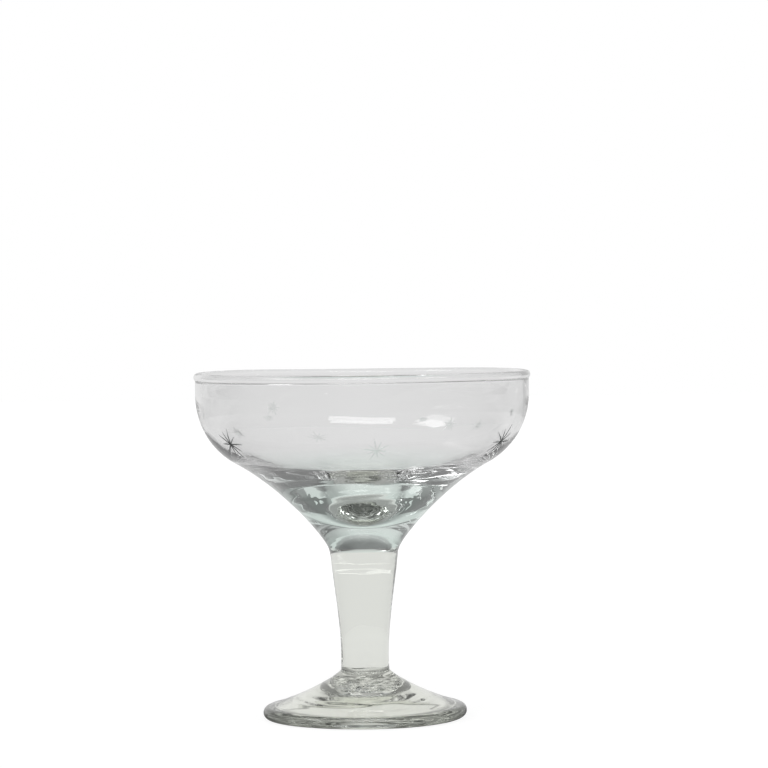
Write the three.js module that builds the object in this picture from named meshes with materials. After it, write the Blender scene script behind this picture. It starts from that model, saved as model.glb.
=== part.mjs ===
// A hand-blown champagne coupe in clear glass, in millimetres with +Z up.
// Three gathers of hot glass make it: a wide bowl, a solid stem and a foot. Each was shaped by
// itself and pressed on to the next while soft, so they meet face to face on two round seats.
// The origin lies on the table, on the axis of the glass.

import * as THREE from 'three';

// The foot: a low cone with a thick rounded edge, hollow underneath
const FOOT_HEIGHT = 14.2; // table to the seat of the stem
const FOOT_RADIUS = 30.4;
const FOOT_EDGE_THICKNESS = 3.7;
const FOOT_EDGE_SLOPE = 13.6; // degrees, how fast the top rises from the edge
const FOOT_EDGE_REACH = 7.8; // how far that slope carries inwards
const FOOT_COLLAR_LEAN = 40; // degrees from upright, where the top meets the stem
const FOOT_COLLAR_REACH = 3.4; // how far that lean carries outwards
const RESTING_RING_WIDTH = 2.6; // flat ring that touches the table
const KICK_HEIGHT = 5.3; // hollow under the foot, at its middle
const PONTIL_RADIUS = 11.5; // broken-off scar in the middle of the hollow

// The stem: a solid rod that narrows downwards, with a slight waist above the foot and a short
// flare under the bowl
const STEM_HEIGHT = 36.6; // seat to seat
const STEM_BASE_RADIUS = 7.2;
const STEM_BASE_LEAN = -3; // degrees from upright, inwards above the foot
const STEM_ROD_LEAN = 6.5; // degrees from upright, where the flare begins
const STEM_TOP_RADIUS = 10.65;
const STEM_FLARE_HEIGHT = 4;
const STEM_FLARE_GROWTH = 0.8; // how much wider the flare gets

// The bowl: a solid funnel, a round shoulder and an upright wall with a fire-polished rim
const BOWL_HEIGHT = 52.2; // seat of the bowl to the top of the rim
const BOWL_RADIUS = 49.5; // outside of the upright wall
const WALL = 1.6;
const RIM_SWELL = 0.45; // how far the rim's bead stands proud of each side of the wall
const SHOULDER_RADIUS = 23; // outside of the round shoulder
const SHOULDER_LEAN = 61.6; // degrees from upright, where the shoulder runs into the funnel
const UPRIGHT_HEIGHT = 6.9; // rim top down to where the shoulder begins
const NECK_LEAN = 24; // degrees from upright, where the flare of the stem runs into the funnel
const NECK_REACH = 4.5; // how far that lean carries up the funnel
const FUNNEL_REACH = 14.4; // how far the shoulder's lean carries down the funnel
const INNER_UPRIGHT_HEIGHT = 9.6; // rim top down to where the inside begins to close in
const INNER_SHOULDER_WIDTH = 24.4; // inside of the shoulder, half of an ellipse across
const INNER_SHOULDER_DEPTH = 19.5; // and half of it down
const INNER_SHOULDER_LEAN = 70; // degrees from upright, where the inside runs into its floor
const BASE_THICKNESS = 10.2; // solid glass between the seat and the bottom of the inside
const FLOOR_OUTER_REACH = 14; // how far the shoulder's lean carries down the inside
const FLOOR_INNER_REACH = 8; // how wide the bottom of the inside stays flat

// Facets round the axis, and steps along each curve of an outline
const SIDES = 64;
const CURVE_STEPS = 9;
const ARC_STEPS = 5; // a full arc takes twice as many

const radians = THREE.MathUtils.degToRad;

// A step of the given length along a line that leans out from upright by the given degrees.
function leaning(degrees, length) {
  return new THREE.Vector2(Math.sin(radians(degrees)), Math.cos(radians(degrees))).multiplyScalar(length);
}

// A closed body turned about the Z axis from an outline of (radius, height) points that starts
// on the axis, runs outwards under the body and up its outside, and ends on the axis.
function turned(name, outline, colour) {
  const geometry = new THREE.LatheGeometry(outline, SIDES);
  geometry.rotateX(Math.PI / 2);
  const glass = new THREE.MeshStandardMaterial({
    color: colour,
    roughness: 0.03,
    metalness: 0,
    transparent: true,
    opacity: 0.35,
  });
  const mesh = new THREE.Mesh(geometry, glass);
  mesh.name = name;
  return mesh;
}

// The points of one path, taken with the same fineness on every piece.
function pointsOf(path) {
  return path.getPoints(CURVE_STEPS);
}

// The foot from its hollow underside, round its edge and up its sloping top to the stem's seat.
function makeFoot() {
  const edgeRadius = FOOT_EDGE_THICKNESS / 2;
  const edgeCentre = FOOT_RADIUS - edgeRadius;
  const slope = radians(FOOT_EDGE_SLOPE);
  const topStart = new THREE.Vector2(
    edgeCentre + edgeRadius * Math.sin(slope),
    edgeRadius + edgeRadius * Math.cos(slope),
  );
  const seat = new THREE.Vector2(STEM_BASE_RADIUS, FOOT_HEIGHT);
  const rising = topStart.clone().add(leaning(FOOT_EDGE_SLOPE - 90, FOOT_EDGE_REACH));
  const collar = seat.clone().sub(leaning(-FOOT_COLLAR_LEAN, FOOT_COLLAR_REACH));

  const underside = new THREE.Path();
  underside.moveTo(0, KICK_HEIGHT);
  underside.lineTo(PONTIL_RADIUS, KICK_HEIGHT);
  underside.lineTo(edgeCentre - RESTING_RING_WIDTH, 0);
  underside.lineTo(edgeCentre, 0);

  const edge = new THREE.Path();
  edge.absarc(edgeCentre, edgeRadius, edgeRadius, -Math.PI / 2, Math.PI / 2 - slope);

  const top = new THREE.Path();
  top.moveTo(topStart.x, topStart.y);
  top.bezierCurveTo(rising.x, rising.y, collar.x, collar.y, seat.x, seat.y);
  top.lineTo(0, FOOT_HEIGHT);

  const outline = [
    ...pointsOf(underside),
    ...edge.getPoints(ARC_STEPS).slice(1, -1),
    ...pointsOf(top),
  ];
  return turned('foot', outline, 0xd3dbd6);
}

// Carries a path up by a height, to a radius that is a cubic of the height, between two leans.
function growTo(path, height, radius, startLean, endLean) {
  const start = path.currentPoint;
  const third = height / 3;
  path.bezierCurveTo(
    start.x + third * Math.tan(radians(startLean)), start.y + third,
    radius - third * Math.tan(radians(endLean)), start.y + 2 * third,
    radius, start.y + height,
  );
}

// The stem between its two flat seats: the rod, then the flare that runs into the bowl.
function makeStem() {
  const rodHeight = STEM_HEIGHT - STEM_FLARE_HEIGHT;
  const rodRadius = STEM_TOP_RADIUS - STEM_FLARE_GROWTH;

  const side = new THREE.Path();
  side.moveTo(0, 0);
  side.lineTo(STEM_BASE_RADIUS, 0);
  growTo(side, rodHeight, rodRadius, STEM_BASE_LEAN, STEM_ROD_LEAN);
  growTo(side, STEM_FLARE_HEIGHT, STEM_TOP_RADIUS, STEM_ROD_LEAN, NECK_LEAN);
  side.lineTo(0, STEM_HEIGHT);

  const stem = turned('stem', pointsOf(side), 0xd6dcd8);
  stem.position.z = FOOT_HEIGHT;
  return stem;
}

// The bowl from its seat up the funnel, shoulder and wall, over the rim's bead and down the
// inside. The inside of the shoulder is an ellipse that keeps the wall thin, and the inside then
// falls to a rounded bottom, which leaves the funnel its heavy base.
function makeBowl() {
  const beadRadius = WALL / 2 + RIM_SWELL;
  const beadCentre = BOWL_RADIUS - WALL / 2;
  const beadHeight = BOWL_HEIGHT - beadRadius;
  const beadStart = Math.acos(WALL / 2 / beadRadius);
  const shoulderCentre = BOWL_RADIUS - SHOULDER_RADIUS;
  const shoulderHeight = BOWL_HEIGHT - UPRIGHT_HEIGHT;
  const sweep = radians(SHOULDER_LEAN);

  const innerCentre = BOWL_RADIUS - WALL - INNER_SHOULDER_WIDTH;
  const innerHeight = BOWL_HEIGHT - INNER_UPRIGHT_HEIGHT;
  const innerSweep = Math.atan2(
    INNER_SHOULDER_DEPTH * Math.sin(radians(INNER_SHOULDER_LEAN)),
    INNER_SHOULDER_WIDTH * Math.cos(radians(INNER_SHOULDER_LEAN)),
  );

  const outerEnd = new THREE.Vector2(
    shoulderCentre + SHOULDER_RADIUS * Math.cos(sweep),
    shoulderHeight - SHOULDER_RADIUS * Math.sin(sweep),
  );
  const innerEnd = new THREE.Vector2(
    innerCentre + INNER_SHOULDER_WIDTH * Math.cos(innerSweep),
    innerHeight - INNER_SHOULDER_DEPTH * Math.sin(innerSweep),
  );
  const seat = new THREE.Vector2(STEM_TOP_RADIUS, 0);
  const neck = seat.clone().add(leaning(NECK_LEAN, NECK_REACH));
  const funnel = outerEnd.clone().sub(leaning(SHOULDER_LEAN, FUNNEL_REACH));
  const floor = innerEnd.clone().sub(leaning(INNER_SHOULDER_LEAN, FLOOR_OUTER_REACH));

  const underside = new THREE.Path();
  underside.moveTo(0, 0);
  underside.lineTo(seat.x, seat.y);
  underside.bezierCurveTo(neck.x, neck.y, funnel.x, funnel.y, outerEnd.x, outerEnd.y);

  const outerShoulder = new THREE.Path();
  outerShoulder.absarc(shoulderCentre, shoulderHeight, SHOULDER_RADIUS, -sweep, 0);

  const bead = new THREE.Path();
  bead.absarc(beadCentre, beadHeight, beadRadius, -beadStart, Math.PI + beadStart);

  const innerShoulder = new THREE.Path();
  innerShoulder.absellipse(
    innerCentre, innerHeight, INNER_SHOULDER_WIDTH, INNER_SHOULDER_DEPTH, 0, -innerSweep, true,
  );

  const inside = new THREE.Path();
  inside.moveTo(innerEnd.x, innerEnd.y);
  inside.bezierCurveTo(floor.x, floor.y, FLOOR_INNER_REACH, BASE_THICKNESS, 0, BASE_THICKNESS);

  const outline = [
    ...pointsOf(underside),
    ...outerShoulder.getPoints(ARC_STEPS).slice(1),
    ...bead.getPoints(ARC_STEPS),
    ...innerShoulder.getPoints(ARC_STEPS),
    ...pointsOf(inside).slice(1),
  ];
  const bowl = turned('bowl', outline, 0xdbe2de);
  bowl.position.z = FOOT_HEIGHT + STEM_HEIGHT;
  return bowl;
}

const coupe = new THREE.Group();
coupe.add(makeFoot(), makeStem(), makeBowl());

export default coupe;
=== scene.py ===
import bpy
import numpy as np
from mathutils import Euler, Matrix, Vector


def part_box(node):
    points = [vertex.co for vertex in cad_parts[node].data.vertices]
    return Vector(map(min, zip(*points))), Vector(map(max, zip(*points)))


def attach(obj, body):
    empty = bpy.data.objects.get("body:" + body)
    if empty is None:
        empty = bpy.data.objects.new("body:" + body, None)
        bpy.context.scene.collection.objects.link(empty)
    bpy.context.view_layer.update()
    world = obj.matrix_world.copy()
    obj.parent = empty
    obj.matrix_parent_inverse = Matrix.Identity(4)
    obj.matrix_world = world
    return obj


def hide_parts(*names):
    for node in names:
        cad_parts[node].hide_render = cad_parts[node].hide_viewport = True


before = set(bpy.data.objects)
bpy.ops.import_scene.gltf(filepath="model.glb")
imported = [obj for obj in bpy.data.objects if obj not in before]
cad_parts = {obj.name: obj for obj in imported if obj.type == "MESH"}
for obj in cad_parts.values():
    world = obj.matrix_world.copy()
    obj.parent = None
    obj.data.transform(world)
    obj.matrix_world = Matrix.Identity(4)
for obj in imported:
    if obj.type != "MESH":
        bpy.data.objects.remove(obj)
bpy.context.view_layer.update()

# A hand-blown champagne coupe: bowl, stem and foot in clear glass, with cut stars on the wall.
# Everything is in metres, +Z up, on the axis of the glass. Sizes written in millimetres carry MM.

MM = 0.001
BODY = "root"

# Sizes of the solids, read from the frame
FOOT_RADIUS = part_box("foot")[1][0]
STEM_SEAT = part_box("foot")[1][2]
BOWL_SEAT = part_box("bowl")[0][2]
STEM_TOP_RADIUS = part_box("stem")[1][0]
RIM_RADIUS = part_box("bowl")[1][0]
RIM_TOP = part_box("bowl")[1][2]

# Sizes of the foot's outline that a box can't tell
FOOT_EDGE_THICKNESS = 3.7 * MM
FOOT_EDGE_SLOPE = np.radians(13.6)
FOOT_EDGE_REACH = 7.8 * MM
COLLAR_LEAN = np.radians(40)
COLLAR_REACH = 3.4 * MM
RESTING_RING_WIDTH = 2.6 * MM
KICK_HEIGHT = 5.3 * MM
PONTIL_RADIUS = 11.5 * MM
SCAR_RADIUS = 9.2 * MM

# The same for the stem
STEM_BASE_RADIUS = 7.2 * MM
STEM_BASE_LEAN = np.radians(-3)
FLARE_HEIGHT = 4 * MM
FLARE_RADIUS = 9.85 * MM
FLARE_LEAN = np.radians(6.5)

# The same for the bowl
NECK_LEAN = np.radians(24)
NECK_REACH = 4.5 * MM
WALL = 1.6 * MM
RIM_SWELL = 0.45 * MM
SHOULDER_RADIUS = 23 * MM
SHOULDER_LEAN = np.radians(61.6)
UPRIGHT_HEIGHT = 6.9 * MM
FUNNEL_REACH = 14.4 * MM
INNER_SHOULDER_WIDTH = 24.4 * MM
INNER_SHOULDER_DEPTH = 19.5 * MM
INNER_SHOULDER_LEAN = np.radians(70)
INNER_UPRIGHT_HEIGHT = 9.6 * MM
BASE_THICKNESS = 10.2 * MM
FLOOR_OUTER_REACH = 14 * MM
FLOOR_INNER_REACH = 8 * MM

# Stretches of each outline, counted from its start
SCAR_STRETCH = 0
HOLLOW_STRETCH = 2
EDGE_STRETCH = 4
FOOT_TOP_STRETCH = 5
FOOT_SEAT_STRETCH = 6
STEM_FOOT_STRETCH = 0
STEM_BOWL_STRETCH = 3
BOWL_SEAT_STRETCH = 0
FUNNEL_STRETCH = 1
OUTER_WALL_STRETCH = 3
INNER_WALL_STRETCH = 5
FLOOR_STRETCH = 7

# Unevenness of hand-made glass. A wave is its usual height, the limits of its turns round the axis, the
# limits of its pitch along the outline, and a seed. Near a seat, the axis or an edge it calms down.
OVAL = 0.15 * MM
OVAL_TURN = 0.6
RIM_WAVE = (0.12 * MM, (2, 5), (1, 2), 3)
RIM_WAVE_REACH = 20 * MM
BOWL_SEAT_CALM = 3 * MM
BOWL_MIDDLE_CALM = 6 * MM
INSIDE_BLEND = 4 * MM
FLOOR_BLEND = 6 * MM
OUTER_CORDS = (0.01 * MM, (2, 9), (14 * MM, 30 * MM), 5)
INNER_CORDS = (0.01 * MM, (2, 9), (12 * MM, 26 * MM), 6)
FLOOR_RIPPLES = (0.01 * MM, (1, 8), (3 * MM, 7 * MM), 8)
FLOOR_RIPPLES_GROW = (5 * MM, 14 * MM)
STEM_SEAT_CALM = 3 * MM
STEM_CORDS = (0.03 * MM, (2, 7), (40 * MM, 90 * MM), 11)
FOOT_EDGE_WAVE = (0.12 * MM, (2, 5), (1, 2), 14)
FOOT_EDGE_WAVE_START = 20 * MM
FOOT_TOP_CALM = (3 * MM, 2 * MM)
FOOT_UNDER_CALM = (2 * MM, 2 * MM)
FOOT_TOP_RINGS = (0.02 * MM, (0, 4), (3 * MM, 9 * MM), 15)
FOOT_UNDER_RINGS = (0.02 * MM, (1, 6), (3 * MM, 9 * MM), 16)
WAVE_TERMS = 12

# Low rings that the jack left under the bowl
JACK_MARK = 0.05 * MM
JACK_MARK_WIDTH = 0.7 * MM
JACK_MARK_TILT = 0.4 * MM
JACK_MARK_TURN = 1.0
JACK_MARKS = (44.3 * MM, 48.3 * MM)

# Broken surface of the pontil scar
SCAR_DEPTH = 1.0 * MM
SCAR_WIDTHS = (2.5 * MM, 7 * MM)
SCAR_RIDGES = 7
SCAR_EDGE = 1.2 * MM
SCAR_SEED = 21
MEAN_OF_A_RIDGE = 0.64
# Share of the scar's depth below which its hollows get painted shade
SHADED_HOLLOW_DEPTH = 0.3

# Cut stars: degrees from the front towards +X, height, length of the long rays, turn, whether left matt and
# painted dark
STARS = (
    (-123, 84 * MM, 4.2 * MM, 0.2, False),
    (-57.5, 82.9 * MM, 5.8 * MM, 0.0, True),
    (5, 81.6 * MM, 4.2 * MM, 0.5, False),
    (63, 82.6 * MM, 6.2 * MM, 0.0, True),
    (129.5, 86 * MM, 4.2 * MM, 0.25, False),
    (199, 80.5 * MM, 4.2 * MM, 0.1, False),
    (-94, 91.5 * MM, 2.4 * MM, 0.3, False),
    (-31, 93.9 * MM, 2.4 * MM, 0.1, False),
    (31, 88.5 * MM, 2.4 * MM, 0.2, False),
    (108, 92 * MM, 2.4 * MM, 0.0, False),
    (157, 90.5 * MM, 2.0 * MM, 0.3, False),
    (-143, 91.5 * MM, 2.4 * MM, 0.15, False),
)
STAR_RAYS = 10
SHORT_RAY = 0.78
STAR_MARGIN = 0.4 * MM
CUT_WIDTH = 0.4 * MM
CUT_STEEPNESS = 0.9

# Fineness: points of a stretch of outline, columns round the axis, rows per stretch, steps inside a star
BEZIER_POINTS = 400
ARC_POINTS = 300
LINE_POINTS = 200
SAME_POINT = 1e-9
SAME_ROW = 2e-6
COLUMNS = 168
BOWL_ROWS = (8, 60, 36, 8, 28, 12, 34, 70)
STEM_ROWS = (6, 70, 16, 6)
FOOT_ROWS = (40, 6, 30, 8, 28, 50, 6)
FINE_STEP = 0.18 * MM
FINEST_STEP = 0.12 * MM
STAR_SEARCH_POINTS = 4000
SEAM_GAP = 0.01 * MM
SEAM_SLOT = 1


# Outlines: arrays of (radius, height) points

def leaning(lean, length):
    """A step of that length along a line that leans out from upright by that angle."""
    return length * np.array([np.sin(lean), np.cos(lean)])


def bezier(start, first, second, end):
    """Cubic curve: the four points weighted by the Bernstein terms of t from 0 to 1."""
    t = np.linspace(0, 1, BEZIER_POINTS)[:, None]
    start, first, second, end = (np.asarray(p, float) for p in (start, first, second, end))
    return (1 - t) ** 3 * start + 3 * (1 - t) ** 2 * t * first + 3 * (1 - t) * t ** 2 * second + t ** 3 * end


def arc(centre, across, up, from_angle, to_angle):
    """Ellipse stretch: centre plus (across cos, up sin) of an angle that runs evenly."""
    a = np.linspace(from_angle, to_angle, ARC_POINTS)
    return np.stack([centre[0] + across * np.cos(a), centre[1] + up * np.sin(a)], axis=1)


def line(start, end):
    """Straight stretch between two points."""
    t = np.linspace(0, 1, LINE_POINTS)[:, None]
    return (1 - t) * np.asarray(start, float) + t * np.asarray(end, float)


class Outline:
    """A piece's outline, with its length along the curve, its points and its outward normals.

    The normal is the tangent turned a quarter turn clockwise, which points out of the glass on an
    outline that runs outwards under a piece and up its outside.
    """

    def __init__(self, *stretches):
        points = np.concatenate(stretches)
        step = np.linalg.norm(np.diff(points, axis=0), axis=1)
        keep = np.concatenate([[True], step > SAME_POINT])
        self.points = points[keep]
        step = np.linalg.norm(np.diff(self.points, axis=0), axis=1)
        self.length = np.concatenate([[0], np.cumsum(step)])
        tangent = np.gradient(self.points, self.length, axis=0)
        tangent /= np.linalg.norm(tangent, axis=1)[:, None]
        self.normals = np.stack([tangent[:, 1], -tangent[:, 0]], axis=1)
        lengths = [np.linalg.norm(np.diff(s, axis=0), axis=1).sum() for s in stretches]
        jumps = [np.linalg.norm(b[0] - a[-1]) for a, b in zip(stretches, stretches[1:])] + [0]
        starts = np.concatenate([[0], np.cumsum(np.array(lengths) + np.array(jumps))])
        self.spans = [(start, start + length) for start, length in zip(starts, lengths)]

    def read(self, table, length):
        """Rows of a table at these lengths along the curve, read off between its close points."""
        return np.stack([np.interp(length, self.length, table[:, k]) for k in (0, 1)], axis=-1)

    def at(self, length):
        """Points and normals at these lengths along the curve."""
        return self.read(self.points, length), self.read(self.normals, length)


def foot_outline():
    """Hollow underside, resting ring, rounded edge, sloping top and the seat of the stem."""
    edge = FOOT_EDGE_THICKNESS / 2
    centre = np.array([FOOT_RADIUS - edge, edge])
    top = centre + leaning(FOOT_EDGE_SLOPE, edge)
    seat = np.array([STEM_BASE_RADIUS, STEM_SEAT - SEAM_GAP])
    ring = np.array([centre[0] - RESTING_RING_WIDTH, 0])
    scar = np.array([PONTIL_RADIUS, KICK_HEIGHT])
    return Outline(
        line((0, KICK_HEIGHT), (SCAR_RADIUS, KICK_HEIGHT)),
        line((SCAR_RADIUS, KICK_HEIGHT), scar),
        bezier(scar, scar + (ring - scar) / 3, scar + (ring - scar) * 2 / 3, ring),
        line(ring, (centre[0], 0)),
        arc(centre, edge, edge, -np.pi / 2, np.pi / 2 - FOOT_EDGE_SLOPE),
        bezier(top, top + leaning(FOOT_EDGE_SLOPE - np.pi / 2, FOOT_EDGE_REACH),
               seat - leaning(-COLLAR_LEAN, COLLAR_REACH), seat),
        line(seat, (0, seat[1])),
    )


def growth(low, start_radius, start_lean, high, end_radius, end_lean):
    """Radius as a cubic of the height between two heights, with a lean from upright at each end."""
    third = (high - low) / 3
    return bezier((start_radius, low), (start_radius + third * np.tan(start_lean), low + third),
                  (end_radius - third * np.tan(end_lean), high - third), (end_radius, high))


def stem_outline():
    """Seat on the foot, a rod with a slight waist, a short flare and the seat of the bowl."""
    low = STEM_SEAT + SEAM_GAP
    high = BOWL_SEAT - SEAM_GAP
    neck = high - FLARE_HEIGHT
    return Outline(
        line((0, low), (STEM_BASE_RADIUS, low)),
        growth(low, STEM_BASE_RADIUS, STEM_BASE_LEAN, neck, FLARE_RADIUS, FLARE_LEAN),
        growth(neck, FLARE_RADIUS, FLARE_LEAN, high, STEM_TOP_RADIUS, NECK_LEAN),
        line((STEM_TOP_RADIUS, high), (0, high)),
    )


def bowl_outline():
    """Seat on the stem, funnel, shoulder, wall, rim bead, and the inside down to its lowest point."""
    bead = WALL / 2 + RIM_SWELL
    bead_centre = np.array([RIM_RADIUS - bead, RIM_TOP - bead])
    outside = bead_centre[0] + WALL / 2
    inside = outside - WALL
    bead_start = np.arccos(WALL / 2 / bead)
    bead_foot = bead_centre[1] - bead * np.sin(bead_start)
    shoulder = np.array([outside - SHOULDER_RADIUS, RIM_TOP - UPRIGHT_HEIGHT])
    inner = np.array([inside - INNER_SHOULDER_WIDTH, RIM_TOP - INNER_UPRIGHT_HEIGHT])
    inner_sweep = np.arctan(np.tan(INNER_SHOULDER_LEAN) * INNER_SHOULDER_DEPTH / INNER_SHOULDER_WIDTH)
    inner_arc = arc(inner, INNER_SHOULDER_WIDTH, INNER_SHOULDER_DEPTH, 0, -inner_sweep)
    seat = np.array([STEM_TOP_RADIUS, BOWL_SEAT + SEAM_GAP])
    outer_end = shoulder + SHOULDER_RADIUS * np.array([np.cos(SHOULDER_LEAN), -np.sin(SHOULDER_LEAN)])
    inner_end = inner_arc[-1]
    lowest = BOWL_SEAT + BASE_THICKNESS
    return Outline(
        line((0, seat[1]), seat),
        bezier(seat, seat + leaning(NECK_LEAN, NECK_REACH),
               outer_end - leaning(SHOULDER_LEAN, FUNNEL_REACH), outer_end),
        arc(shoulder, SHOULDER_RADIUS, SHOULDER_RADIUS, -SHOULDER_LEAN, 0),
        line((outside, shoulder[1]), (outside, bead_foot)),
        arc(bead_centre, bead, bead, -bead_start, np.pi + bead_start),
        line((inside, bead_foot), (inside, inner[1])),
        inner_arc,
        bezier(inner_end, inner_end - leaning(INNER_SHOULDER_LEAN, FLOOR_OUTER_REACH),
               (FLOOR_INNER_REACH, lowest), (0, lowest)),
    )


# Skins

def rows_along(outline, counts):
    """Lengths of the rows: each stretch of the outline cut into its count of even steps, poles left out."""
    cuts = [np.linspace(a, b, n + 1) for (a, b), n in zip(outline.spans, counts)]
    rows = np.unique(np.round(np.concatenate(cuts), 9))
    return rows[np.concatenate([[True], np.diff(rows) > SAME_ROW])][1:-1]


def waves(angle, along, height, around, pitch, seed):
    """Hand-made unevenness: a sum of cosines of whole turns round the axis and of the way along.

    Each term is cos(turns * angle + 2 pi * along / pitch + phase), with turns and pitch drawn between
    the two limits of each; height is the usual size of the sum.
    """
    rng = np.random.default_rng(seed)
    total = np.zeros(np.broadcast(angle, along).shape)
    for _ in range(WAVE_TERMS):
        turns = rng.integers(*around)
        length = rng.uniform(*pitch)
        phase = rng.uniform(0, 2 * np.pi)
        total += np.cos(turns * angle + 2 * np.pi * along / length + phase)
    return height * total * np.sqrt(2 / WAVE_TERMS)


def ease(value, start, end):
    """Smooth step: 0 up to start, 1 from end on, and 3t squared less 2t cubed between."""
    t = np.clip((value - start) / (end - start), 0, 1)
    return t * t * (3 - 2 * t)


def within(value, span, edge_in, edge_out):
    """Smooth window: 0 outside the span, 1 inside it, eased over an edge at each end."""
    return ease(value, span[0], span[0] + edge_in) * ease(-value, -span[1], -span[1] + edge_out)


def turned(outline, length, angle, lift, drift):
    """Skin of a turned piece: the outline's point, moved out along its normal by lift, swung round +Z.

    drift moves both sides of a wall together: radius grows by its first share, height by its second.
    """
    points, normals = outline.at(length)
    moved = points + normals * lift[..., None] + np.stack(drift, axis=-1)
    return np.stack([moved[..., 0] * np.cos(angle), moved[..., 0] * np.sin(angle), moved[..., 1]], axis=-1)


def grid_quads(index):
    """Quads between neighbouring rows and columns of an index grid."""
    return np.stack([index[:-1, :-1], index[:-1, 1:], index[1:, 1:], index[1:, :-1]], axis=-1)


def runs_of(edge, step):
    """An edge's indices in runs of step + 1, each beginning where the last one ended."""
    return edge[np.arange((len(edge) - 1) // step)[:, None] * step + np.arange(step + 1)]


class Skin:
    """Points and faces of a closed turned piece, built as a grid of rows and columns with two poles.

    look holds the material slot of each quad: 0, or SEAM_SLOT on the seats, or what finish gives a stretch.
    """

    def __init__(self, outline, counts, shape, seats, finish):
        self.shape = shape
        self.rows = rows_along(outline, counts)
        self.angles = np.arange(COLUMNS + 1) * 2 * np.pi / COLUMNS
        length, angle = np.meshgrid(self.rows, self.angles[:-1], indexing="ij")
        poles = [[0, 0, outline.points[0, 1]], [0, 0, outline.points[-1, 1]]]
        self.points = [shape(length, angle).reshape(-1, 3), np.array(poles)]
        self.index = np.arange(length.size).reshape(length.shape)
        self.index = np.concatenate([self.index, self.index[:, :1]], axis=1)
        self.count = length.size + 2
        self.open = np.ones((len(self.rows) - 1, COLUMNS), bool)
        self.middle = (self.rows[:-1] + self.rows[1:]) / 2
        self.look = np.zeros(self.open.shape, int)
        for stretch, slot in {**{s: SEAM_SLOT for s in seats}, **finish}.items():
            start, end = outline.spans[stretch]
            self.look[(self.middle > start) & (self.middle < end)] = slot
        self.seat_edges = [outline.spans[s][1 if s == 0 else 0] for s in seats]
        self.patches = []

    def refine(self, first_row, last_row, first_column, last_column, row_step, column_step):
        """Cuts a block of quads finer, and gives the quads round it the new points on their edges."""
        rows = slice(first_row, last_row + 1)
        columns = slice(first_column, last_column + 1)
        high = last_row - first_row
        wide = last_column - first_column
        length = np.interp(np.arange(high * row_step + 1) / row_step, np.arange(high + 1), self.rows[rows])
        angle = np.interp(np.arange(wide * column_step + 1) / column_step, np.arange(wide + 1),
                          self.angles[columns])
        length, angle = np.meshgrid(length, angle, indexing="ij")
        fine = self.count + np.arange(length.size).reshape(length.shape)
        self.points.append(self.shape(length, angle).reshape(-1, 3))
        self.count += length.size
        c = self.index
        fine[::row_step, 0] = c[rows, first_column]
        fine[::row_step, -1] = c[rows, last_column]
        fine[0, ::column_step] = c[first_row, columns]
        fine[-1, ::column_step] = c[last_row, columns]
        left = first_column - 1
        right = last_column + 1
        below = first_row - 1
        above = last_row + 1
        self.open[first_row:last_row, left:right] = False
        self.open[[below, last_row], first_column:last_column] = False
        low = slice(first_row, last_row)
        up = slice(first_row + 1, last_row + 1)
        near = slice(first_column, last_column)
        far = slice(first_column + 1, last_column + 1)
        self.patches += [
            np.column_stack([c[low, left], runs_of(fine[:, 0], row_step), c[up, left]]),
            np.column_stack([c[low, right], c[up, right], runs_of(fine[:, -1], row_step)[:, ::-1]]),
            np.column_stack([c[below, near], c[below, far], runs_of(fine[0], column_step)[:, ::-1]]),
            np.column_stack([runs_of(fine[-1], column_step), c[above, far], c[above, near]]),
        ]
        return fine, length, angle

    def faces(self):
        """All faces of the grid that are still whole, the fans at the poles, and the patches."""
        low = self.index.max() + 1
        ring = self.index[0]
        last = self.index[-1]
        bottom = np.column_stack([np.full(COLUMNS, low), ring[1:], ring[:-1]])
        top = np.column_stack([np.full(COLUMNS, low + 1), last[:-1], last[1:]])
        faces = [grid_quads(self.index)[self.open], bottom, top] + self.patches
        looks = [self.look[self.open], self.look[0], self.look[-1]]
        return faces, looks + [np.zeros(len(f), int) for f in self.patches]

    def sharp_points(self):
        """Points on the rings where a flat seat meets the side of the piece."""
        rows = [np.abs(self.rows - edge).argmin() for edge in self.seat_edges]
        return self.index[rows].ravel()


def make_piece(name, skin, materials, extra_faces=(), extra_looks=()):
    """A smooth mesh object from a skin, with points that no face uses left out."""
    faces, looks = skin.faces()
    faces += extra_faces
    looks += extra_looks
    used, renamed = np.unique(np.concatenate([f.ravel() for f in faces]), return_inverse=True)
    parts = np.split(renamed, np.cumsum([f.size for f in faces])[:-1])
    polygons = [row for f, part in zip(faces, parts) for row in part.reshape(f.shape).tolist()]
    mesh = bpy.data.meshes.new(name)
    mesh.from_pydata(np.concatenate(skin.points)[used].tolist(), [], polygons)
    for material in materials:
        mesh.materials.append(material)
    mesh.polygons.foreach_set("material_index", np.concatenate(looks).astype(np.int32))
    mesh.shade_smooth()
    edges = np.empty(len(mesh.edges) * 2, np.int32)
    mesh.edges.foreach_get("vertices", edges)
    creased = np.isin(used, skin.sharp_points())[edges.reshape(-1, 2)].all(axis=1)
    mesh.attributes.new("sharp_edge", "BOOLEAN", "EDGE").data.foreach_set("value", creased)
    mesh.update()
    piece = bpy.data.objects.new(name, mesh)
    bpy.context.collection.objects.link(piece)
    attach(piece, BODY)
    return piece


# Materials

GLASS_IOR = 1.52
COLOURLESS = "#FFFFFF"
FUNNEL_THINS = (24 * MM, 37 * MM)


def linear(hex_colour):
    """sRGB hex to linear red, green, blue and alpha."""
    srgb = np.array([int(hex_colour[k:k + 2], 16) for k in (1, 3, 5)]) / 255
    value = np.where(srgb <= 0.04045, srgb / 12.92, ((srgb + 0.055) / 1.055) ** 2.4)
    return (*value.tolist(), 1.0)


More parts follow.
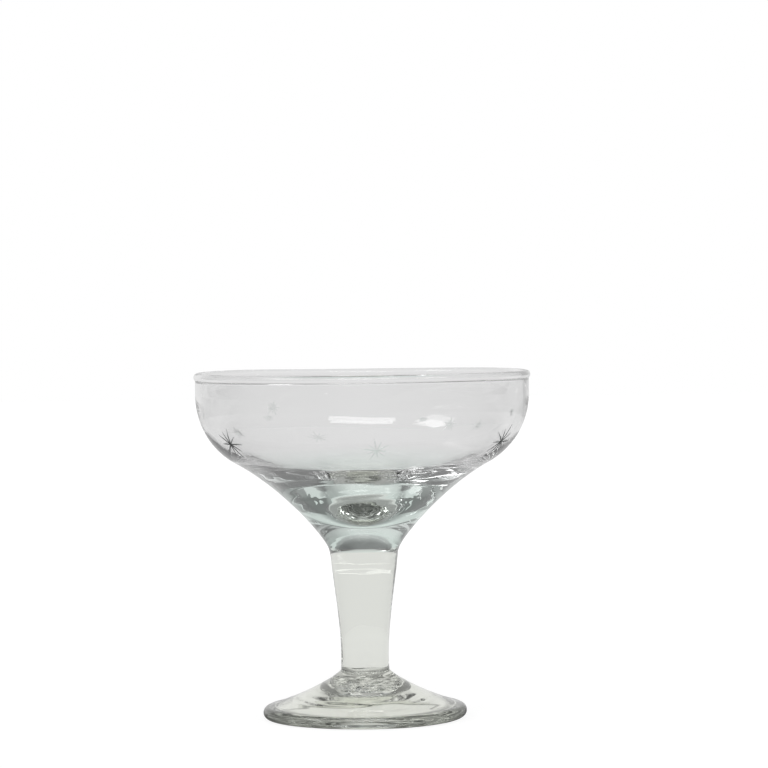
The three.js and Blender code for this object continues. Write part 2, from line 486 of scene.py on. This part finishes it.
def add(tree, kind, settings=None, inputs=None):
    """One node of that kind; inputs holds plain values, or sockets to link from.

    On a Mix node, inputs 2 and 3 are its two numbers, and inputs 6 and 7 and output 2 are colours.
    """
    node = tree.nodes.new(kind)
    for key, value in (settings or {}).items():
        setattr(node, key, value)
    for key, value in (inputs or {}).items():
        if isinstance(value, bpy.types.NodeSocket):
            tree.links.new(value, node.inputs[key])
        else:
            node.inputs[key].default_value = value
    return node


def new_material(name):
    """An empty material and its node tree."""
    material = bpy.data.materials.new(name)
    material.use_nodes = True
    material.node_tree.nodes.clear()
    return material, material.node_tree


def fading(tree, tint, radii):
    """The tint up to the first radius from the axis, colourless from the second on, and a blend between."""
    where = add(tree, "ShaderNodeTexCoord")
    flat = add(tree, "ShaderNodeVectorMath", {"operation": "MULTIPLY"},
               {0: where.outputs["Object"], 1: (1, 1, 0)})
    radius = add(tree, "ShaderNodeVectorMath", {"operation": "LENGTH"}, {0: flat.outputs["Vector"]})
    thin = add(tree, "ShaderNodeMapRange", inputs={
        "Value": radius.outputs["Value"], "From Min": radii[0], "From Max": radii[1]})
    blend = add(tree, "ShaderNodeMix", {"data_type": "RGBA"},
                {0: thin.outputs[0], 6: linear(tint), 7: linear(COLOURLESS)})
    return blend.outputs[2]


def soda_lime_glass(name, tint, roughness=0.0, thinning=None):
    """Clear soda-lime glass. Iron in the batch tints it, which shows where light passes much of it; in the
    cut, scar and edge glasses below, the tint also holds painted shade.

    Each skin that light passes takes its share of the tint. Between the two radii of thinning it fades out.
    """
    material, tree = new_material(name)
    colour = fading(tree, tint, thinning) if thinning else linear(tint)
    skin = add(tree, "ShaderNodeBsdfPrincipled", inputs={
        "Base Color": colour, "Roughness": roughness, "IOR": GLASS_IOR, "Transmission Weight": 1.0})
    add(tree, "ShaderNodeOutputMaterial", inputs={"Surface": skin.outputs["BSDF"]})
    return material


def fused_seam(name):
    """The seat where two gathers melted together, which light passes straight through."""
    material, tree = new_material(name)
    clear = add(tree, "ShaderNodeBsdfTransparent", inputs={"Color": linear(COLOURLESS)})
    add(tree, "ShaderNodeOutputMaterial", inputs={"Surface": clear.outputs["BSDF"]})
    return material


# Thin blown wall: no colour of its own, so only edges and highlights show it
BLOWN_THIN = soda_lime_glass("thin_blown_glass", COLOURLESS)
# Thick blown funnel: a faint sea green that fades out where the glass gets thin
BLOWN_THICK = soda_lime_glass("thick_blown_glass", "#EEFBF5", thinning=FUNNEL_THINS)
# Drawn rod: almost clear, a trace of green
DRAWN = soda_lime_glass("drawn_glass", "#F8FAF4")
# Pressed disc: a trace of straw
PRESSED = soda_lime_glass("pressed_glass", "#FDFFF6")
# Round edge of the disc, where light runs along the glass: grey green, deepened by painted shade that stands
# for the dim table round the foot
EDGE = soda_lime_glass("thick_pressed_glass_with_shade", "#E4E8DD")
# Stars as the wheel left them, ground matt: fine dark lines, partly from the grooves' scatter of the light
# and partly painted shade in their dark glass colour
CUT_MATT_PAINTED_DARK = soda_lime_glass("matt_cut_glass_painted_dark", "#4A504E", roughness=0.35)
# Polished stars: faint lines that bend the light, with a little painted shade in their grey glass colour
CUT_POLISHED_FAINT_SHADE = soda_lime_glass("polished_cut_glass_faint_shade", "#E4E8E6", roughness=0.05)
# Glass that broke off the pontil: bright facets, grey from painted shade in its glass colour
SNAPPED_WITH_SHADE = soda_lime_glass("snapped_glass_with_shade", "#D2D6CF", roughness=0.05)
# Deepest hollows of the scar: dark specks of painted shade
SCAR_HOLLOW_SHADE = soda_lime_glass("scar_hollow_painted_shade", "#262A24", roughness=0.3)
# Melted seam: can't be seen
SEAM = fused_seam("fused_glass_seam")


# Bowl

BOWL = bowl_outline()
BOWL_MATERIALS = [BLOWN_THIN, SEAM, CUT_MATT_PAINTED_DARK, BLOWN_THICK, CUT_POLISHED_FAINT_SHADE]


def bowl_shape(length, angle):
    """The turned bowl, a little oval and wavy at the rim, with soft cords and with ripples in its floor."""
    points, _ = BOWL.at(length)
    radius = points[..., 0]
    height = points[..., 1]
    oval = ease(height, BOWL_SEAT, RIM_TOP) * OVAL * np.cos(2 * angle + OVAL_TURN)
    rim = ease(height, RIM_TOP - RIM_WAVE_REACH, RIM_TOP) * waves(angle, 0 * angle, *RIM_WAVE)
    funnel_start = BOWL.spans[FUNNEL_STRETCH][0]
    inside_start = BOWL.spans[INNER_WALL_STRETCH][0]
    floor_start = BOWL.spans[FLOOR_STRETCH][0]
    calm = ease(length, funnel_start, funnel_start + BOWL_SEAT_CALM) * ease(radius, 0, BOWL_MIDDLE_CALM)
    inside = ease(length, inside_start, inside_start + INSIDE_BLEND)
    floor = ease(length, floor_start - FLOOR_BLEND, floor_start) * ease(radius, *FLOOR_RIPPLES_GROW)
    lift = calm * ((1 - inside) * waves(angle, length, *OUTER_CORDS)
                   + inside * waves(angle, length, *INNER_CORDS)
                   + floor * waves(angle, length, *FLOOR_RIPPLES))
    return turned(BOWL, length, angle, lift, (oval, rim))


def star_cut(x, y, size, turn):
    """Depth of a cut star: the deepest of its V-shaped rays, each of which thins out to a point.

    A ray is as deep as half its width at that distance less the distance to its middle line, times the
    steepness of the wheel's edge. Its width falls with the root of the way that is left to its tip.
    """
    deepest = np.zeros_like(x)
    for ray in range(STAR_RAYS):
        way = turn + ray * 2 * np.pi / STAR_RAYS
        reach = size * (1 if ray % 2 == 0 else SHORT_RAY)
        along = x * np.cos(way) + y * np.sin(way)
        across = y * np.cos(way) - x * np.sin(way)
        width = CUT_WIDTH / 2 * np.sqrt(np.clip(1 - along / reach, 0, 1)) * (along > -CUT_WIDTH / 2)
        deepest = np.maximum(deepest, (width - np.abs(across)) * CUT_STEEPNESS)
    return deepest


def cut_star(skin, centre_length, centre_angle, size, turn, matt_and_dark):
    """One star, sunk along the outline's normal into a block of finer quads; its quads and their looks."""
    radius = BOWL.at(centre_length)[0][0]
    reach = size + STAR_MARGIN
    step = FINEST_STEP if matt_and_dark else FINE_STEP
    rows = np.searchsorted(skin.rows, [centre_length - reach, centre_length + reach]) + [-1, 0]
    columns = np.searchsorted(skin.angles, [centre_angle - reach / radius, centre_angle + reach / radius])
    columns = columns + [-1, 0]
    row_height = (skin.rows[rows[1]] - skin.rows[rows[0]]) / (rows[1] - rows[0])
    steps = [max(2, round(cell / step)) for cell in (row_height, skin.angles[1] * radius)]
    fine, length, angle = skin.refine(*rows, *columns, *steps)
    depth = star_cut((angle - centre_angle) * radius, length - centre_length, size, turn)
    inwards = BOWL.at(length)[1] * -depth[..., None]
    sunk = [inwards[..., 0] * np.cos(angle), inwards[..., 0] * np.sin(angle), inwards[..., 1]]
    skin.points[-1] += np.stack(sunk, axis=-1).reshape(-1, 3)
    cut = (depth > 0).astype(int)
    corners = cut[:-1, :-1] + cut[1:, 1:] + cut[:-1, 1:] + cut[1:, :-1]
    # matt stars get the dark cut glass, whose colour is painted shade
    slot = BOWL_MATERIALS.index(CUT_MATT_PAINTED_DARK if matt_and_dark else CUT_POLISHED_FAINT_SHADE)
    return grid_quads(fine).reshape(-1, 4), np.where(corners > 1, slot, 0).ravel()


def make_bowl():
    """The bowl, with a thick funnel and its cut stars."""
    finish = {FUNNEL_STRETCH: BOWL_MATERIALS.index(BLOWN_THICK)}
    skin = Skin(BOWL, BOWL_ROWS, bowl_shape, [BOWL_SEAT_STRETCH], finish)
    low = BOWL.spans[FUNNEL_STRETCH][0]
    high = BOWL.spans[OUTER_WALL_STRETCH][1]
    outside = np.linspace(low, high, STAR_SEARCH_POINTS)
    heights = BOWL.at(outside)[0][:, 1]
    faces = []
    looks = []
    for degrees, height, size, turn, matt_and_dark in STARS:
        centre_angle = np.radians(degrees - 90) % (2 * np.pi)
        quads, slots = cut_star(skin, np.interp(height, heights, outside), centre_angle, size, turn, matt_and_dark)
        faces.append(quads)
        looks.append(slots)
    bowl = make_piece("blown_bowl", skin, BOWL_MATERIALS, faces, looks)
    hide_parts("bowl")


# Stem

STEM = stem_outline()


def stem_shape(length, angle):
    """The turned stem with lengthwise cords and two low rings that the jack left under the bowl.

    A ring is a bell curve of the height, a little tilted.
    """
    height = STEM.at(length)[0][..., 1]
    side = within(height, (STEM_SEAT, BOWL_SEAT), STEM_SEAT_CALM, STEM_SEAT_CALM)
    tilt = JACK_MARK_TILT * np.cos(angle + JACK_MARK_TURN)
    rings = sum(JACK_MARK * np.exp(-((height - z + tilt) / JACK_MARK_WIDTH) ** 2) for z in JACK_MARKS)
    lift = side * (waves(angle, length, *STEM_CORDS) + rings)
    return turned(STEM, length, angle, lift, (np.zeros_like(lift), np.zeros_like(lift)))


def make_stem():
    """The stem between its two fused seats."""
    skin = Skin(STEM, STEM_ROWS, stem_shape, [STEM_FOOT_STRETCH, STEM_BOWL_STRETCH], {})
    stem = make_piece("drawn_stem", skin, [DRAWN, SEAM])
    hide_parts("stem")


# Foot

FOOT = foot_outline()
FOOT_MATERIALS = [PRESSED, SEAM, SNAPPED_WITH_SHADE, EDGE, SCAR_HOLLOW_SHADE]


def snapped(x, y):
    """Broken glass: ridges, each the absolute cosine of the way across it, in many ways and widths."""
    rng = np.random.default_rng(SCAR_SEED)
    total = np.zeros_like(x)
    for _ in range(SCAR_RIDGES):
        way = rng.uniform(0, np.pi)
        width = rng.uniform(*SCAR_WIDTHS)
        phase = rng.uniform(0, np.pi)
        across = x * np.cos(way) + y * np.sin(way)
        total += width * (np.abs(np.cos(np.pi * across / width + phase)) - MEAN_OF_A_RIDGE)
    return SCAR_DEPTH * total / (np.mean(SCAR_WIDTHS) * np.sqrt(SCAR_RIDGES))


def foot_shape(length, angle):
    """The turned foot, not quite round, with soft rings above and below and the broken scar underneath."""
    radius = FOOT.at(length)[0][..., 0]
    scar = ease(-radius, -SCAR_RADIUS, -SCAR_RADIUS + SCAR_EDGE) * (length < FOOT.spans[SCAR_STRETCH][1])
    top = within(length, FOOT.spans[FOOT_TOP_STRETCH], *FOOT_TOP_CALM)
    under = within(length, FOOT.spans[HOLLOW_STRETCH], *FOOT_UNDER_CALM)
    edge = ease(radius, FOOT_EDGE_WAVE_START, FOOT_RADIUS) * waves(angle, 0 * angle, *FOOT_EDGE_WAVE)
    lift = (top * waves(angle, length, *FOOT_TOP_RINGS)
            + under * waves(angle, length, *FOOT_UNDER_RINGS)
            + scar * snapped(radius * np.cos(angle), radius * np.sin(angle)))
    return turned(FOOT, length, angle, lift, (edge, np.zeros_like(radius)))


def make_foot():
    """The foot with its fused seat, its thick edge and its pontil scar; edge and scar glass carry painted
    shade, darkest in the scar's deepest hollows.
    """
    shaded_scar_slot = FOOT_MATERIALS.index(SNAPPED_WITH_SHADE)
    finish = {SCAR_STRETCH: shaded_scar_slot, EDGE_STRETCH: FOOT_MATERIALS.index(EDGE)}
    skin = Skin(FOOT, FOOT_ROWS, foot_shape, [FOOT_SEAT_STRETCH], finish)
    radius = FOOT.at(skin.middle)[0][:, :1]
    angle = (skin.angles[:-1] + skin.angles[1:]) / 2
    # The scar's deepest hollows get dark glass: painted shade
    shaded_hollows = snapped(radius * np.cos(angle), radius * np.sin(angle)) < -SHADED_HOLLOW_DEPTH * SCAR_DEPTH
    skin.look[shaded_hollows & (skin.look == shaded_scar_slot)] = FOOT_MATERIALS.index(SCAR_HOLLOW_SHADE)
    foot = make_piece("pressed_foot", skin, FOOT_MATERIALS)
    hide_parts("foot")


make_bowl()
make_stem()
make_foot()


# Studio. A lit sweep stands behind the glass, on +Y. Levels are brightness, with 1 for white.

FLOOR_DROP = 0.05 * MM  # keeps the table's face clear of the foot's
FLOOR_REACH = 3.0
TABLE_FADE = (0.1, 0.6)  # metres from the axis over which the table runs into the sweep
TABLE_BARE = 0.86  # to the camera, near the glass, where lamp light adds the rest
TABLE_LIT = 0.2  # how much lamp light it gives back, so that the glass keeps a shadow
TABLE_SHOWN = 0.65  # through the glass
TABLE_FAR = 0.68  # through the glass far out, where it has to match the sweep
TABLE_CONTACT = 0.08  # in the shade under the foot's edge
CONTACT_STARTS = (22 * MM, 25.5 * MM)
CONTACT_ENDS = (32 * MM, 38 * MM)
# Painted shade: the table under the stem is drawn dark for light seen down through both seams
TABLE_DOWN_STEM = 0.06  # seen down through both seams, which darkens the middle of the funnel
DOWN_STEM_EDGE = (16 * MM, 20 * MM)
BOTH_SEAMS = 3.5  # a seam has two faces, so light through both has passed four
TABLE_AHEAD = 6.0  # how fast the table brightens towards the sweep, per metre
TABLE_SPOT = (10 * MM, 20 * MM)  # lit patch under the stem

BACKDROP = 0.79
OVERHEAD = 0.55
OVERHEAD_EDGE = (0.3, 0.85)  # upward part of a direction, as the next edges are its parts along Y and X
ROOM = 0.42  # share of the sweep's level behind the camera, which darkens what reflections turn there
SWEEP_EDGE = (0.4, 0.8)
SIDES = 0.6  # the same share for the sides
LEFT_EDGE = (-0.8, -0.45)
RIGHT_EDGE = (0.1, 0.4)

LAMP_DISTANCE = 1.2
LAMP_AIM = 0.8  # share of the rim's height
# Lamps: degrees from the front towards +X, degrees up, turn, width, height, radiance
STRIP_SOFTBOX = (0, 36, 0, 0.95, 0.2, 4.5)  # long highlight in the wall
SIDE_SOFTBOX = (-63, 35, 66, 0.4, 0.55, 3.0)  # slanted highlight to its right

# Camera, fitted to the photograph's outline
CAMERA_PLACE = (0, -0.9573, 0.1252)
CAMERA_DOWN = np.radians(1.556)
CAMERA_ASIDE = np.radians(0.393)
CAMERA_ROLL = -0.0115
SENSOR_WIDTH = 36.0
FOCAL_LENGTH = 3218.9 / 768 * SENSOR_WIDTH

GLASS_BOUNCES = 32  # light crosses many faces in thick glass
SEAM_BOUNCES = 16


def lit_side(tree, forward):
    """Share of the sweep's level on that side: all of it ahead on +Y, where the sweep stands, less behind."""
    return add(tree, "ShaderNodeMapRange", inputs={
        "Value": forward, "From Min": SWEEP_EDGE[0], "From Max": SWEEP_EDGE[1],
        "To Min": ROOM, "To Max": 1.0}).outputs[0]


def where_turned(tree, path, share):
    """That share for light that a reflection turned, and 1 for light that came straight through."""
    turned_once = add(tree, "ShaderNodeMath", {"operation": "MINIMUM"},
                      {0: path.outputs["Glossy Depth"], 1: 1.0})
    return add(tree, "ShaderNodeMix", {"data_type": "FLOAT"},
               {0: turned_once.outputs[0], 2: 1.0, 3: share}).outputs[0]


def table_through_glass(tree, path, place, reach):
    """The table's level through the glass: painted shade under the foot's edge, darker painted shade down the
    stem, grey far out.
    """
    away = add(tree, "ShaderNodeSeparateXYZ", inputs={0: place})
    ahead = add(tree, "ShaderNodeMath", {"operation": "MULTIPLY"}, {0: away.outputs["Y"], 1: TABLE_AHEAD})
    spot = add(tree, "ShaderNodeMapRange", inputs={
        "Value": reach, "From Min": TABLE_SPOT[0], "From Max": TABLE_SPOT[1], "To Min": 1.0, "To Max": 0.0})
    bright = add(tree, "ShaderNodeMath", {"operation": "MAXIMUM"}, {0: ahead.outputs[0], 1: spot.outputs[0]})
    falling = add(tree, "ShaderNodeMapRange", inputs={
        "Value": reach, "From Min": CONTACT_STARTS[0], "From Max": CONTACT_STARTS[1],
        "To Min": TABLE_SHOWN, "To Max": TABLE_CONTACT})
    rising = add(tree, "ShaderNodeMapRange", inputs={
        "Value": reach, "From Min": CONTACT_ENDS[0], "From Max": CONTACT_ENDS[1],
        "To Min": TABLE_CONTACT, "To Max": TABLE_SHOWN})
    contact = add(tree, "ShaderNodeMath", {"operation": "MAXIMUM"},
                  {0: falling.outputs[0], 1: rising.outputs[0]})
    middle = add(tree, "ShaderNodeMapRange", inputs={
        "Value": reach, "From Min": DOWN_STEM_EDGE[0], "From Max": DOWN_STEM_EDGE[1],
        "To Min": TABLE_DOWN_STEM, "To Max": TABLE_SHOWN})
    down_stem = add(tree, "ShaderNodeMath", {"operation": "GREATER_THAN"},
                    {0: path.outputs["Transparent Depth"], 1: BOTH_SEAMS})
    under = add(tree, "ShaderNodeMix", {"data_type": "FLOAT"},
                {0: down_stem.outputs[0], 2: contact.outputs[0], 3: middle.outputs[0]})
    far = add(tree, "ShaderNodeMapRange", inputs={
        "Value": reach, "From Min": TABLE_FADE[0], "From Max": TABLE_FADE[1]})
    level = add(tree, "ShaderNodeMix", {"data_type": "FLOAT"},
                {0: far.outputs[0], 2: under.outputs[0], 3: TABLE_FAR})
    share = where_turned(tree, path, lit_side(tree, bright.outputs[0]))
    return add(tree, "ShaderNodeMath", {"operation": "MULTIPLY"}, {0: share, 1: level.outputs[0]}).outputs[0]


def make_floor():
    """A wide pale table, white to the camera and light grey through the glass, that keeps its shadow."""
    mesh = bpy.data.meshes.new("table")
    ways = ((-1, -1), (1, -1), (1, 1), (-1, 1))
    corners = [(x * FLOOR_REACH, y * FLOOR_REACH, -FLOOR_DROP) for x, y in ways]
    mesh.from_pydata(corners, [], [(0, 1, 2, 3)])
    material, tree = new_material("pale_table")
    path = add(tree, "ShaderNodeLightPath")
    where = add(tree, "ShaderNodeTexCoord")
    place = where.outputs["Object"]
    reach = add(tree, "ShaderNodeVectorMath", {"operation": "LENGTH"}, {0: place}).outputs["Value"]
    bare = add(tree, "ShaderNodeMapRange", inputs={
        "Value": reach, "From Min": TABLE_FADE[0], "From Max": TABLE_FADE[1],
        "To Min": TABLE_BARE, "To Max": 1.0})
    glow = add(tree, "ShaderNodeMix", {"data_type": "FLOAT"},
               {0: path.outputs["Is Camera Ray"], 2: table_through_glass(tree, path, place, reach),
                3: bare.outputs[0]})
    seen = add(tree, "ShaderNodeEmission", inputs={"Color": (1, 1, 1, 1), "Strength": glow.outputs[0]})
    lit = add(tree, "ShaderNodeBsdfDiffuse", inputs={"Color": (TABLE_LIT, TABLE_LIT, TABLE_LIT, 1)})
    both = add(tree, "ShaderNodeAddShader", inputs={0: seen.outputs[0], 1: lit.outputs[0]})
    add(tree, "ShaderNodeOutputMaterial", inputs={"Surface": both.outputs[0]})
    mesh.materials.append(material)
    floor = bpy.data.objects.new("table", mesh)
    bpy.context.collection.objects.link(floor)


def make_world():
    """White to the camera. To the glass, light grey low down and darker overhead.

    For light that a reflection turned, the room is darker to both sides and behind the camera.
    """
    world = bpy.data.worlds.new("studio")
    bpy.context.scene.world = world
    world.use_nodes = True
    tree = world.node_tree
    tree.nodes.clear()
    path = add(tree, "ShaderNodeLightPath")
    where = add(tree, "ShaderNodeTexCoord")
    way = add(tree, "ShaderNodeSeparateXYZ", inputs={0: where.outputs["Generated"]})
    height = add(tree, "ShaderNodeMapRange", inputs={
        "Value": way.outputs["Z"], "From Min": OVERHEAD_EDGE[0], "From Max": OVERHEAD_EDGE[1],
        "To Min": BACKDROP, "To Max": OVERHEAD})
    left = add(tree, "ShaderNodeMapRange", inputs={
        "Value": way.outputs["X"], "From Min": LEFT_EDGE[0], "From Max": LEFT_EDGE[1], "To Min": SIDES})
    right = add(tree, "ShaderNodeMapRange", inputs={
        "Value": way.outputs["X"], "From Min": RIGHT_EDGE[0], "From Max": RIGHT_EDGE[1],
        "To Min": 1.0, "To Max": SIDES})
    sides = add(tree, "ShaderNodeMath", {"operation": "MINIMUM"}, {0: left.outputs[0], 1: right.outputs[0]})
    room = add(tree, "ShaderNodeMath", {"operation": "MULTIPLY"},
               {0: lit_side(tree, way.outputs["Y"]), 1: sides.outputs[0]})
    shown = add(tree, "ShaderNodeMath", {"operation": "MULTIPLY"},
                {0: where_turned(tree, path, room.outputs[0]), 1: height.outputs[0]})
    level = add(tree, "ShaderNodeMix", {"data_type": "FLOAT"},
                {0: path.outputs["Is Camera Ray"], 2: shown.outputs[0], 3: 1.0})
    glow = add(tree, "ShaderNodeBackground", inputs={"Color": (1, 1, 1, 1), "Strength": level.outputs[0]})
    add(tree, "ShaderNodeOutputWorld", inputs={"Surface": glow.outputs[0]})


def softbox(name, azimuth, elevation, turn, width, height, radiance):
    """A rectangular lamp that faces the glass; its power is radiance times pi times its area."""
    a = np.radians(azimuth)
    e = np.radians(elevation)
    out = Vector((np.sin(a) * np.cos(e), -np.cos(a) * np.cos(e), np.sin(e)))
    lamp = bpy.data.lights.new(name, "AREA")
    lamp.shape = "RECTANGLE"
    lamp.size = width
    lamp.size_y = height
    lamp.energy = radiance * np.pi * width * height
    holder = bpy.data.objects.new(name, lamp)
    holder.matrix_world = (Matrix.Translation(out * LAMP_DISTANCE + Vector((0, 0, RIM_TOP * LAMP_AIM)))
                           @ out.to_track_quat("Z", "Y").to_matrix().to_4x4()
                           @ Matrix.Rotation(np.radians(turn), 4, "Z"))
    bpy.context.collection.objects.link(holder)


def make_camera():
    """The photograph's view: from 0.96 m away, a little above the rim, aimed right of the glass."""
    camera = bpy.data.cameras.new("camera")
    camera.sensor_width = SENSOR_WIDTH
    camera.lens = FOCAL_LENGTH
    holder = bpy.data.objects.new("camera", camera)
    turn = Euler((np.pi / 2 - CAMERA_DOWN, 0, -CAMERA_ASIDE), "XYZ").to_matrix().to_4x4()
    holder.matrix_world = Matrix.Translation(CAMERA_PLACE) @ turn @ Matrix.Rotation(CAMERA_ROLL, 4, "Z")
    bpy.context.collection.objects.link(holder)
    bpy.context.scene.camera = holder


make_floor()
make_world()
softbox("strip_softbox", *STRIP_SOFTBOX)
softbox("side_softbox", *SIDE_SOFTBOX)
make_camera()
scene = bpy.context.scene
scene.view_settings.view_transform = "Standard"
scene.cycles.max_bounces = GLASS_BOUNCES
scene.cycles.glossy_bounces = GLASS_BOUNCES
scene.cycles.transmission_bounces = GLASS_BOUNCES
scene.cycles.transparent_max_bounces = SEAM_BOUNCES
